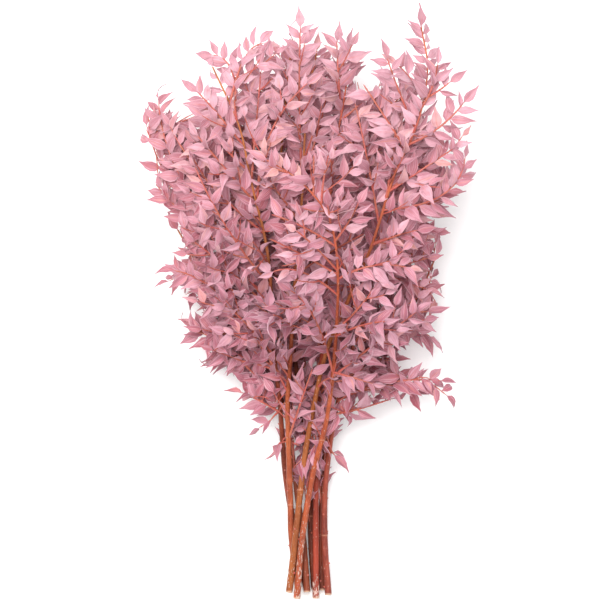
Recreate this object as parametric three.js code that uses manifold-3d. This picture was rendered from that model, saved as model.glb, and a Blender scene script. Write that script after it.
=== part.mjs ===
// A gathered bunch of nine dried ruscus stems, laid down: bare canes at the foot, a leafy head at the top.
// Millimetres. +Y runs from the cut ends to the tips, +X across the bunch, +Z up, with the bunch on z = 0.
// Each stem is one mesh: its cane, its branches and the leaves that grow from them, fused together.
import * as THREE from "three";
import { mergeVertices } from "three/addons/utils/BufferGeometryUtils.js";
import Module from "manifold-3d";

const wasm = await Module();
wasm.setup();

// Driving sizes
const FOOT_RADIUS = 4.1; // a cane at its cut end
const CROWN_RADIUS = 0.9; // a cane at its tip
const TAPER = 1.4; // above 1, a cane thins faster near its foot
const RING_SWELL = 0.7; // how far a cane's joint ring stands out
const RING_HALF = 2.2; // half of a joint ring's length
const BRANCH_RADIUS = 1.35; // a branch where it leaves its cane
const BRANCH_TIP_RADIUS = 0.8;
const LEAF_LENGTH = 33;
const LEAF_WIDTH = 0.34; // of its length
const LEAF_KEEL = 1.15; // depth of a blade's keel under its flat face
const LEAF_STEP = 6; // along a branch, from one leaf to the next on the other side
const LEAF_OUTWARD = 0.8; // how much a leaf's face looks away from the middle of the head
const LEAF_UPWARD = 0.8; // and how much it looks up
const LEAF_STRAY = 1.4; // and how far it strays from both
const LEAF_SPREAD = 50; // degrees between a leaf and its branch
const SPREAD_STRAY = 24;
const LAST_SPREAD = 0.1; // radians between a branch's last leaf and its tip
const LEAF_DROOP = 0.6;
const LEAF_SIZES = [0.72, 1.1]; // of LEAF_LENGTH
const TIP_LEAF = 0.78; // size of a branch's last leaf against its first
const BARE_BRANCH = 12; // a branch has no leaf nearer to its cane
const BARE_SHARE = 0.6; // of a short branch, at most
const CROWN_SHARE = 0.7; // past this share of its length a cane carries leaves itself
const KEPT_LEAF = 8; // one leaf in this many is solid here

// The head is an egg, and branches grow out to its surface
const HEAD_CENTRE = new THREE.Vector3(-8, 95, 104);
const HEAD_RADII = new THREE.Vector3(140, 198, 98);
const BRANCH_EVERY = 56; // along a cane
const LOWEST_BRANCH = -100; // y
const BRANCH_SHORTEST = 46;
const BRANCH_LONGEST = 125;
const CROWN_BRANCH = 26; // a branch at a cane's tip
const BRANCH_RISE = 44; // degrees between a branch and its cane
const RISE_STRAY = 16;
const REACH_STRAY = [0.85, 1.05];
const KNEE = 0.55; // share of its reach at which a branch bends
const LOW_ARCH = -0.45; // how far a branch bends away from the tips low in the head
const HIGH_ARCH = 0.3; // and towards them high in it
const BRANCH_SAG = -0.12;
const FAN = 105; // degrees to each side of the way a stem faces
const GOLDEN = 0.618034;

// The table presses what would reach under it flat
const PRESS_BRANCH = 26; // below this height a branch is bent up
const PRESS_LEAF = 6;
const BRANCH_FLOOR = 2.4;
const LEAF_FLOOR = 1.2;

// Two stems stay this far apart, and a leaf that comes nearer to another stem is left out
const BRANCH_CLEAR = 1.2;
const LEAF_CLEAR = 0.5;
const WALK = 3; // distance between the points that stand for a branch or a cane
const CANE_PIECES = 12; // straight pieces that a bent cane is built from
const CANE_SIDES = 8;
const BRANCH_SIDES = 3;
const BOW_OF_A_PIECE = 1.5; // a straight piece of a branch strays this far from its curve at most
const BEND_STEP = 7; // a branch in another's way is bent up or down by this, then by twice this
const BEND_TRIES = 9;

// The middle of the whole bunch before it is centred on the origin
const MIDDLE = { x: -3.63, y: 1.753, z: 0.283 };

const v3 = (p) => new THREE.Vector3(p[0], p[1], p[2]);

// A stem has the points that its cane passes, from the cut end to the tip, the way it faces in degrees
// from +X towards +Z, the heights of its joint rings, and its long branches. A long branch is where it
// leaves (y), the point that it bends towards and its tip.
const STEMS = [
  {
    name: "stem_front",
    faces: 90,
    cane: [[-19, -326, 14], [-13.2, -260, 26], [-1, -187, 40], [14, -127, 62], [23, -51, 103], [26, 37, 160],
      [16, 94, 188], [-15, 134, 200], [-51, 157, 194]],
    rings: [-150],
    long: [
      [-75, [4, -3, 150], [-25, 15, 165]],
      [-75, [42, -80, 112], [64, -87, 100]],
      [-81, [64, -45, 125], [112, -8, 135]],
      [-29, [48, -8, 140], [65, 17, 152]],
      [10, [-15, 47, 185], [-44, 36, 178]],
      [30, [64, 51, 180], [103, 40, 166]],
      [40, [1, 65, 190], [-19, 80, 204]],
      [64, [-10, 87, 200], [-46, 98, 190]],
      [69, [40, 91, 195], [48, 110, 201]],
      [107, [9, 137, 205], [16, 165, 204]],
    ],
  },
  {
    name: "stem_right_tall",
    faces: 20,
    cane: [[-27.5, -319, 13.5], [-21, -262, 25.6], [-12, -182, 36], [-3, -127, 48], [14, -51, 84],
      [40, 10, 112], [63, 64, 135], [88, 142, 158], [112, 195, 166], [124, 255, 170], [117, 303, 168]],
    rings: [-205],
    long: [
      [64, [89, 76, 150], [112, 81, 150]],
      [87, [57, 170, 168], [45, 219, 160]],
      [102, [160, 108, 160], [165, 160, 158]],
      [110, [86, 155, 162], [89, 190, 168]],
      [126, [122, 150, 172], [147, 167, 166]],
      [169, [80, 201, 178], [54, 240, 176]],
      [174, [141, 190, 178], [163, 220, 176]],
      [192, [93, 228, 182], [80, 268, 182]],
      [215, [132, 238, 178], [135, 262, 172]],
      [224, [108, 247, 176], [91, 262, 172]],
    ],
  },
  {
    name: "stem_centre_tall",
    faces: 105,
    cane: [[-17.7, -314, 5], [-24.5, -262, 17.5], [-26, -222, 28], [-28, -164, 41], [-29, -107, 56],
      [-27, -73, 68], [-23, -10, 92], [-18, 60, 112], [-13, 121, 128], [-8, 216, 138], [3, 278, 128]],
    rings: [-222],
    long: [
      [-97, [-94, 28, 98], [-152, 37, 90]],
      [126, [-18, 220, 145], [-15, 303, 142]],
      [-150, [-14, -105, 75], [-2, -72, 80]],
      [140, [6, 186, 122], [14, 232, 116]],
    ],
  },
  {
    name: "stem_left_tall",
    faces: 155,
    cane: [[-7.6, -318, 4.2], [-21.5, -250, 8], [-31, -193, 18], [-35, -149, 30], [-38, -107, 50],
      [-45, -42, 78], [-48, 28, 105], [-54, 74, 122], [-69, 135, 142], [-82, 195, 154], [-111, 260, 152]],
    rings: [-270],
    long: [
      [-152, [-38, -153, 32], [-41, -157, 33]],
      [-120, [-44, -122, 50], [-47, -127, 50]],
      [-122, [-57, -107, 60], [-78, -98, 55]],
      [-107, [-87, -52, 70], [-129, -26, 55]],
      [-74, [-75, -59, 70], [-111, -62, 50]],
      [5, [-112, 62, 110], [-174, 132, 98]],
      [20, [-101, 82, 150], [-130, 150, 150]],
      [43, [-165, 119, 120], [-171, 225, 105]],
      [30, [-160, 98, 100], [-184, 196, 92]],
      [76, [-134, 142, 136], [-158, 196, 128]],
      [109, [-101, 153, 160], [-127, 184, 158]],
      [106, [-64, 192, 165], [-8, 241, 172]],
      [137, [-62, 214, 150], [-58, 255, 150]],
      [174, [-109, 214, 160], [-127, 232, 150]],
      [208, [-81, 269, 155], [-110, 273, 150]],
      [219, [-78, 285, 165], [-56, 285, 165]],
    ],
  },
  {
    name: "stem_centre",
    faces: 70,
    cane: [[2.2, -326, 12.1], [2, -247, 17.2], [2.4, -187, 23.5], [3.4, -160, 27], [5, -105, 40], [9, -50, 57],
      [13, 11, 84], [14, 48, 98], [20, 148, 122], [33, 225, 122], [38, 262, 116]],
    rings: [-140],
    long: [
      [214, [26, 247, 132], [25, 288, 132]],
      [100, [44, 150, 106], [62, 202, 100]],
      [40, [52, 88, 90], [74, 142, 84]],
      [-162, [3, -155, 42], [9, -146, 47]],
    ],
  },
  {
    name: "stem_right",
    faces: 0,
    cane: [[16, -322, 9.3], [11.8, -255, 18.8], [14, -187, 28], [27, -104, 48], [42, -50, 66], [68, 50, 100],
      [106, 94, 118], [135, 128, 120]],
    rings: [-256],
    long: [
      [-160, [20, -163, 34], [22, -166, 35]],
      [-120, [45, -118, 62], [86, -104, 58]],
      [-105, [79, -78, 85], [139, -84, 70]],
      [-96, [78, -89, 70], [112, -97, 58]],
      [-45, [95, -21, 100], [121, -17, 95]],
      [36, [82, 112, 100], [84, 176, 98]],
    ],
  },
  {
    name: "stem_low_right",
    faces: -25,
    cane: [[9, -317, 4.6], [7, -273, 8], [9, -215, 12], [13, -160, 20], [22, -105, 32], [36, -74, 37],
      [59, -50, 43], [86, -26, 50], [111, 0, 56], [135, 54, 62]],
    rings: [-190],
    long: [[-62, [72, -22, 32], [96, 14, 7]]],
  },
  {
    name: "stem_low_left",
    faces: 200,
    cane: [[-7.7, -319, 12.7], [-12, -259, 14], [-19.5, -204, 18], [-26, -149, 22], [-37, -103, 34],
      [-57, -70, 42], [-81, -33, 50], [-121, 32, 64], [-150, 82, 72]],
    rings: [-170],
    long: [[-62, [-88, -12, 34], [-108, 28, 7]]],
  },
  {
    name: "stem_behind",
    faces: 265,
    cane: [[0.7, -316, 4.2], [-3, -264, 6], [-4, -215, 9], [-9, -160, 13], [-15, -105, 22], [-24, -39, 32],
      [-33, 27, 41], [-37, 93, 49], [-37, 153, 57], [-31, 230, 66], [-24, 292, 72]],
    rings: [-235],
    long: [[95, [-22, 150, 34], [-12, 190, 8]]],
  },
];

// Seeded draws from 0 to 1
function drawsFrom(seed) {
  let state = seed;
  return () => {
    state = (state * 16807) % 2147483647;
    return state / 2147483647;
  };
}

const radians = THREE.MathUtils.degToRad;
const mix = THREE.MathUtils.lerp;
const caneRadius = (t) => CROWN_RADIUS + (FOOT_RADIUS - CROWN_RADIUS) * (1 - t) ** TAPER;

// What lies under `knee` is squeezed in between the table's `floor` and `knee`
function pressed(z, knee, floor) {
  if (z >= knee) return z;
  return floor + (knee - floor) * Math.exp((z - knee) / (knee - floor));
}

// Where along a cane it reaches a height y. Canes only ever rise, so halving finds it.
function atHeight(cane, y) {
  let [low, high] = [0, 1];
  for (let i = 0; i < 30; i += 1) {
    const half = (low + high) / 2;
    if (cane.getPoint(half).y < y) low = half;
    else high = half;
  }
  return (low + high) / 2;
}

function lengthOf(curve, steps = 40) {
  const points = Array.from({ length: steps + 1 }, (_, i) => curve.getPoint(i / steps));
  return points.slice(1).reduce((total, point, i) => total + point.distanceTo(points[i]), 0);
}

// The way along a curve at t
function headingAt(curve, t) {
  const small = 0.001;
  const ahead = curve.getPoint(Math.min(1, t + small));
  return ahead.sub(curve.getPoint(Math.max(0, t - small))).normalize();
}

// The part of `a` square to the unit vector `along`, at length 1
const squareTo = (a, along) => a.clone().addScaledVector(along, -a.dot(along)).normalize();

// A bar is a bent stick: the curve it follows, the shares of it (`rows`) where it turns, and its thickness
function caneBar(stem) {
  const curve = new THREE.CatmullRomCurve3(stem.cane.map(v3), false, "catmullrom", 0.5);
  const joints = stem.rings.map((y) => atHeight(curve, y));
  const half = RING_HALF / lengthOf(curve);
  const plain = Array.from({ length: CANE_PIECES + 1 }, (_, i) => i / CANE_PIECES);
  const clear = plain.filter((t) => joints.every((joint) => Math.abs(t - joint) > 2 * half));
  const swollen = joints.flatMap((joint) => [joint - half, joint, joint + half]);
  const rows = [...clear, ...swollen].sort((a, b) => a - b);
  const radiusAt = (t) => caneRadius(t) + (joints.includes(t) ? RING_SWELL : 0);
  return { curve, rows, radiusAt, sides: CANE_SIDES };
}

function branchBar(start, knee, tip) {
  const ends = [knee, tip].map((p) => new THREE.Vector3(p.x, p.y, pressed(p.z, PRESS_BRANCH, BRANCH_FLOOR)));
  const curve = new THREE.QuadraticBezierCurve3(start, ...ends);
  const bow = start.clone().addScaledVector(ends[0], -2).add(ends[1]).length() / 4;
  const pieces = Math.max(2, Math.ceil(Math.sqrt(bow / BOW_OF_A_PIECE)));
  const rows = Array.from({ length: pieces + 1 }, (_, i) => i / pieces);
  return { curve, rows, radiusAt: (t) => mix(BRANCH_RADIUS, BRANCH_TIP_RADIUS, t), sides: BRANCH_SIDES };
}

// The middle of a bar at t, which lies on its straight pieces
function middleOf(bar, t) {
  const next = Math.max(1, bar.rows.findIndex((row) => row >= t));
  const [from, to] = [bar.rows[next - 1], bar.rows[next]];
  return bar.curve.getPoint(from).lerp(bar.curve.getPoint(to), (t - from) / (to - from));
}

// Points every few millimetres along a bar, with its radius there
function walkAlong(bar) {
  const steps = Math.max(2, Math.round(lengthOf(bar.curve) / WALK));
  const shares = Array.from({ length: steps + 1 }, (_, i) => i / steps);
  return shares.map((t) => ({ point: middleOf(bar, t), radius: bar.radiusAt(t) }));
}

// How far it is from `start` along `way` to the head's surface
function reachToHead(start, way) {
  const p = start.clone().sub(HEAD_CENTRE).divide(HEAD_RADII);
  const d = way.clone().divide(HEAD_RADII);
  const [a, b, c] = [d.dot(d), p.dot(d), p.dot(p) - 1];
  return c >= 0 ? 0 : (Math.sqrt(b * b - a * c) - b) / a;
}

// The knee and tip of a branch that the rule places
function ruledBranch(cane, faces, t, turn, draw) {
  const start = middleOf(cane, t);
  const along = headingAt(cane.curve, t);
  const angle = radians(faces + FAN * (2 * turn - 1));
  const side = squareTo(new THREE.Vector3(Math.cos(angle), 0, Math.sin(angle)), along);
  const rise = radians(BRANCH_RISE + RISE_STRAY * (draw() - 0.5));
  const way = along.clone().multiplyScalar(Math.cos(rise)).addScaledVector(side, Math.sin(rise));
  const longest = mix(BRANCH_LONGEST, CROWN_BRANCH, THREE.MathUtils.smoothstep(t, 0.5, 0.95));
  const shortest = Math.min(BRANCH_SHORTEST, longest);
  const wanted = THREE.MathUtils.clamp(reachToHead(start, way), shortest, longest);
  const reach = wanted * mix(...REACH_STRAY, draw());
  const knee = start.clone().addScaledVector(way, reach * KNEE);
  const arch = mix(LOW_ARCH, HIGH_ARCH, THREE.MathUtils.smoothstep(start.y, -120, 220));
  const later = way.clone().add(new THREE.Vector3(0, arch, BRANCH_SAG)).normalize();
  return [knee, knee.clone().addScaledVector(later, reach * (1 - KNEE))];
}

// The branches of every stem, each bent up or down until it is clear of the stems before it
function growBranches(canes) {
  const taken = canes.map(walkAlong);
  const isClear = (walk, own) =>
    taken.every((points, owner) => owner === own || points.every((other) =>
      walk.every((p) => p.point.distanceTo(other.point) > p.radius + other.radius + BRANCH_CLEAR)));
  return STEMS.map((stem, own) => {
    const cane = canes[own];
    const draw = drawsFrom(1000 + 77 * own);
    const wanted = stem.long.map(([y, knee, tip]) => [atHeight(cane.curve, y), v3(knee), v3(tip)]);
    const whole = lengthOf(cane.curve);
    const lowest = atHeight(cane.curve, LOWEST_BRANCH + 9 * (own % 4));
    for (let t = lowest, turn = 0.13 * own; t < 0.93; t += BRANCH_EVERY / whole) {
      turn = (turn + GOLDEN) % 1;
      wanted.push([t, ...ruledBranch(cane, stem.faces, t, turn, draw)]);
    }
    const grown = [];
    for (const [t, knee, tip] of wanted) {
      for (let tries = 0; tries < BEND_TRIES; tries += 1) {
        const lift = (tries % 2 ? 1 : -1) * Math.ceil(tries / 2) * BEND_STEP;
        const shift = new THREE.Vector3(0, 0, lift);
        const branch = branchBar(middleOf(cane, t), knee.clone().add(shift), tip.clone().add(shift));
        const walk = walkAlong(branch);
        if (!isClear(walk, own)) continue;
        taken[own].push(...walk);
        grown.push(branch);
        break;
      }
    }
    return grown;
  });
}

// The leaves along a bar from `first` to its tip. Each has its root, the way it points, the way its face
// looks and its length. They alternate from side to side, and look up and away from the middle of the head.
function leavesAlong(bar, first, draw) {
  const count = Math.max(1, Math.floor((lengthOf(bar.curve) * (1 - first)) / LEAF_STEP));
  return Array.from({ length: count + 1 }, (_, i) => {
    const t = mix(first, 1, i / count);
    const root = middleOf(bar, t);
    const along = headingAt(bar.curve, t);
    const random = Array.from({ length: 6 }, draw);
    const last = i === count;
    const outward = new THREE.Vector3(root.x - HEAD_CENTRE.x, 0, root.z - HEAD_CENTRE.z).normalize();
    const stray = new THREE.Vector3(random[0] - 0.5, random[1] - 0.3, random[2] - 0.5);
    const look = outward.multiplyScalar(LEAF_OUTWARD).addScaledVector(stray, LEAF_STRAY);
    look.z += LEAF_UPWARD;
    const face = squareTo(look, along);
    const side = along.clone().cross(face);
    const spread = last ? LAST_SPREAD : radians(LEAF_SPREAD + SPREAD_STRAY * (random[3] - 0.5));
    const points = along.clone().multiplyScalar(Math.cos(spread));
    points.addScaledVector(side, (i % 2 ? 1 : -1) * Math.sin(spread));
    points.addScaledVector(face, LEAF_DROOP * (random[4] - 0.6)).normalize();
    const size = LEAF_LENGTH * mix(...LEAF_SIZES, random[5]) * mix(1, TIP_LEAF, t * t);
    return { root, points, face: squareTo(face, points), length: size, last };
  });
}

// A closed solid for the boolean steps
function solidOf(geometry) {
  geometry.deleteAttribute("normal");
  geometry.deleteAttribute("uv");
  const merged = mergeVertices(geometry, 1e-4);
  return new wasm.Manifold(
    new wasm.Mesh({
      numProp: 3,
      vertProperties: new Float32Array(merged.attributes.position.array),
      triVerts: new Uint32Array(merged.index.array),
    }),
  );
}

// A cylinder bent along its bar
function barSolid({ curve, rows, radiusAt, sides }) {
  const geometry = new THREE.CylinderGeometry(1, 1, 1, sides, rows.length - 1);
  let across = squareTo(new THREE.Vector3(0.3, 0.1, 1), headingAt(curve, 0));
  const rings = rows.map((t) => {
    const along = headingAt(curve, t);
    across = squareTo(across, along);
    return { middle: curve.getPoint(t), across, other: across.clone().cross(along), radius: radiusAt(t) };
  });
  const at = geometry.attributes.position;
  for (let i = 0; i < at.count; i += 1) {
    const { middle, across: x, other: z, radius } = rings[Math.round((at.getY(i) + 0.5) * (rows.length - 1))];
    const p = middle.clone().addScaledVector(x, at.getX(i) * radius).addScaledVector(z, at.getZ(i) * radius);
    at.setXYZ(i, p.x, p.y, p.z);
  }
  return solidOf(geometry);
}

// A blade is a three-sided cone with its tip at the leaf's tip: two sharp edges, and a keel under them.
// Rows run from the root to the tip: how far along, half of its width, its keel, and how far it arches.
const BLADE_ROWS = [
  { at: 0, half: 0.1, keel: 0.5, arch: 0 },
  { at: 0.36, half: 1, keel: 1, arch: 0.075 },
  { at: 0.7, half: 0.62, keel: 0.85, arch: 0.07 },
  { at: 1, half: 0, keel: 0, arch: 0 },
];

function bladeSolid(leaf, extra = 0) {
  const rows = BLADE_ROWS.length - 1;
  const geometry = new THREE.CylinderGeometry(0, 1, 1, 3, rows);
  const across = leaf.face.clone().cross(leaf.points);
  const half = (leaf.length * LEAF_WIDTH) / 2 + extra;
  const at = geometry.attributes.position;
  for (let i = 0; i < at.count; i += 1) {
    const row = BLADE_ROWS[Math.round((at.getY(i) + 0.5) * rows)];
    const isKeel = at.getZ(i) > 0.01;
    const side = isKeel ? 0 : Math.sign(at.getX(i));
    const p = leaf.root.clone().addScaledVector(leaf.points, row.at * (leaf.length + extra));
    p.addScaledVector(leaf.face, row.arch * leaf.length).addScaledVector(across, side * half * row.half);
    p.z = pressed(p.z, PRESS_LEAF, LEAF_FLOOR);
    p.addScaledVector(leaf.face, isKeel ? -(LEAF_KEEL + extra) * row.keel : Math.min(extra, row.at));
    at.setXYZ(i, p.x, p.y, p.z);
  }
  return solidOf(geometry);
}

function boxOf(solid) {
  const { min, max } = solid.boundingBox();
  return new THREE.Box3(v3(min), v3(max));
}

const entry = (own, solid, isBlade = false) => ({ own, solid, isBlade, box: boxOf(solid) });

function growBunch() {
  const canes = STEMS.map(caneBar);
  const branches = growBranches(canes);
  const pieces = canes.flatMap((cane, own) =>
    [cane, ...branches[own]].map((bar) => entry(own, barSolid(bar))));
  const bareShare = (bar) => Math.min(BARE_SHARE, BARE_BRANCH / lengthOf(bar.curve));
  canes.forEach((cane, own) => {
    const draw = drawsFrom(5000 + 91 * own);
    const runs = [[cane, CROWN_SHARE], ...branches[own].map((bar) => [bar, bareShare(bar)])];
    for (const [bar, first] of runs) {
      leavesAlong(bar, first, draw).forEach((leaf, i) => {
        if (i % KEPT_LEAF !== 1 && !leaf.last) return;
        const roomy = entry(own, bladeSolid(leaf, LEAF_CLEAR));
        const meets = (p) => p.box.intersectsBox(roomy.box) && !p.solid.intersect(roomy.solid).isEmpty();
        const blocked = pieces.some((p) => (p.own !== own || p.isBlade) && meets(p));
        if (!blocked) pieces.push(entry(own, bladeSolid(leaf), true));
      });
    }
  });
  const solidsOf = (own) => pieces.filter((p) => p.own === own).map((p) => p.solid);
  return STEMS.map((stem, own) => solidsOf(own).reduce((a, b) => a.add(b)));
}

const LEAF_PINK = new THREE.MeshStandardMaterial({ color: 0xc79aa6, roughness: 0.75, metalness: 0 });

function meshOf(solid, name) {
  const made = solid.getMesh();
  const geometry = new THREE.BufferGeometry();
  geometry.setAttribute("position", new THREE.BufferAttribute(made.vertProperties, 3));
  geometry.setIndex(new THREE.BufferAttribute(made.triVerts, 1));
  geometry.computeVertexNormals();
  const mesh = new THREE.Mesh(geometry, LEAF_PINK);
  mesh.name = name;
  mesh.position.set(-MIDDLE.x, -MIDDLE.y, -MIDDLE.z);
  return mesh;
}

const bunch = new THREE.Group();
bunch.name = "dried_ruscus_bunch";
growBunch().forEach((solid, own) => bunch.add(meshOf(solid, STEMS[own].name)));

export default bunch;
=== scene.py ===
# A gathered bunch of dried ruscus stems that lies on a pale floor, seen from straight above.
# The rule that grows it counts in millimetres. What is modelled is in metres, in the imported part's frame.
import math

import bmesh
import bpy
import numpy as np
from mathutils import Matrix, Vector


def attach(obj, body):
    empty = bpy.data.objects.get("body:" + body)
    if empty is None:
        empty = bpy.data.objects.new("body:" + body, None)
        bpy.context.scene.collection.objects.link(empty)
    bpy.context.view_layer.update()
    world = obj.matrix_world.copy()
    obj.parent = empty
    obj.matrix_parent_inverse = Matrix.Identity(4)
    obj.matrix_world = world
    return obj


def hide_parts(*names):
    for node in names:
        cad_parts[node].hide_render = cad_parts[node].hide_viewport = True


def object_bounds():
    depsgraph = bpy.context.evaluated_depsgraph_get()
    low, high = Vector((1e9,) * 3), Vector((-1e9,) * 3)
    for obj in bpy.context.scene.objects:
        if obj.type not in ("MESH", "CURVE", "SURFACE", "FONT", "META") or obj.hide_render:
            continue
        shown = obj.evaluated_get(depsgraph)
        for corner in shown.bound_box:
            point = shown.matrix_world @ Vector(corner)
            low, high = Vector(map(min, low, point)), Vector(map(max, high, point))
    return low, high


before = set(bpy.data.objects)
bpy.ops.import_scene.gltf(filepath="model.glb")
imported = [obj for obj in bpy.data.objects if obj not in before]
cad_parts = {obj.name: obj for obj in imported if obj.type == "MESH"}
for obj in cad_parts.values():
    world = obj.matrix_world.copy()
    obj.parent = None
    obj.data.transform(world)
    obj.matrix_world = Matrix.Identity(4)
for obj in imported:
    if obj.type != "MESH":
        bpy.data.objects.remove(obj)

cad_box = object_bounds()

# Camera and light

VIEW_WIDTH = 0.671  # metres that the square picture spans at the height of the head's middle
HEAD_HEIGHT = 0.1
CAMERA_HEIGHT = 10.0
LOOKS_AT = (-0.00627, -0.0023)
SENSOR = 36.0


def put_in_scene(thing):
    bpy.context.scene.collection.objects.link(thing)


def place_camera():
    lens = bpy.data.cameras.new("camera")
    lens.sensor_width = SENSOR
    lens.lens = SENSOR * (CAMERA_HEIGHT - HEAD_HEIGHT) / VIEW_WIDTH
    lens.clip_end = 20 * CAMERA_HEIGHT
    camera = bpy.data.objects.new("camera", lens)
    camera.location = (*LOOKS_AT, CAMERA_HEIGHT)
    put_in_scene(camera)
    bpy.context.scene.camera = camera


def place_light(name, place, size, watts, colour):
    lamp = bpy.data.lights.new(name, "AREA")
    lamp.shape = "DISK"
    lamp.size = size
    lamp.energy = watts
    lamp.color = colour
    light = bpy.data.objects.new(name, lamp)
    light.location = place
    light.rotation_euler = (-Vector(place)).to_track_quat("-Z", "Y").to_euler()
    put_in_scene(light)


def light_room(colour, strength):
    room = bpy.data.worlds.new("room")
    room.use_nodes = True
    walls = room.node_tree.nodes["Background"].inputs
    walls["Color"].default_value = (*colour, 1)
    walls["Strength"].default_value = strength
    bpy.context.scene.world = room


place_camera()
place_light("window", place=(-0.6, 0.75, 2.6), size=2.4, watts=110, colour=(1.0, 0.985, 0.975))
place_light("reflector", place=(1.7, -0.7, 1.6), size=1.6, watts=12, colour=(0.97, 0.98, 1.0))
light_room(colour=(1.0, 0.99, 0.985), strength=0.79)
bpy.context.scene.view_settings.view_transform = "Standard"

# The rule that the bunch grows by, in millimetres

FOOT_RADIUS = 4.1
CROWN_RADIUS = 0.9
TAPER = 1.4
RING_SWELL = 0.7
RING_HALF = 2.2
BRANCH_RADIUS = 1.35
BRANCH_TIP_RADIUS = 0.8
LEAF_LENGTH = 33
LEAF_WIDTH = 0.34  # of its length
LEAF_STEP = 6
LEAF_OUTWARD = 0.8  # what turns a leaf's face: away from the head's middle, up, and by chance
LEAF_UPWARD = 0.8
LEAF_STRAY = 1.4
LEAF_SPREAD = (50, 24)  # degrees from its branch, and how much they vary
END_SPREAD = 0.1  # radians, of the leaf at the tip
LEAF_LIFT = 0.6
LEAF_SIZES = (0.72, 1.1)
TIP_LEAF = 0.78
BARE_BRANCH = 12
CROWN_SHARE = 0.7

HEAD_CENTRE = np.array([-8.0, 95.0, 104.0])
HEAD_RADII = np.array([140.0, 198.0, 98.0])
BRANCH_EVERY = 56
BRANCH_SEED = (1000, 77)  # of the first stem, and what each next one adds
LOWEST_BRANCH = (-100, 9)  # of the first stem, and how much each of the next three starts higher
HIGHEST_BRANCH = 0.93  # share of the cane
STEM_TURN = 0.13
BRANCH_SHORTEST = 46
BRANCH_LONGEST = 125
CROWN_BRANCH = 26
SHORTENS = (0.5, 0.95)  # shares of the cane
REACH_VARIES = (0.85, 1.05)
BRANCH_HALVES = (0.55, 0.45)  # shares of its reach, up to its bend and after
BRANCH_RISE = (44, 16)  # degrees from the cane, and how much they vary
BRANCH_ARCH = (-0.45, 0.3)  # towards the foot low in the head, towards the top high in it
ARCH_TURNS = (-120, 220)
BRANCH_SAG = -0.12
FAN = 105
GOLDEN = 0.618034

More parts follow.
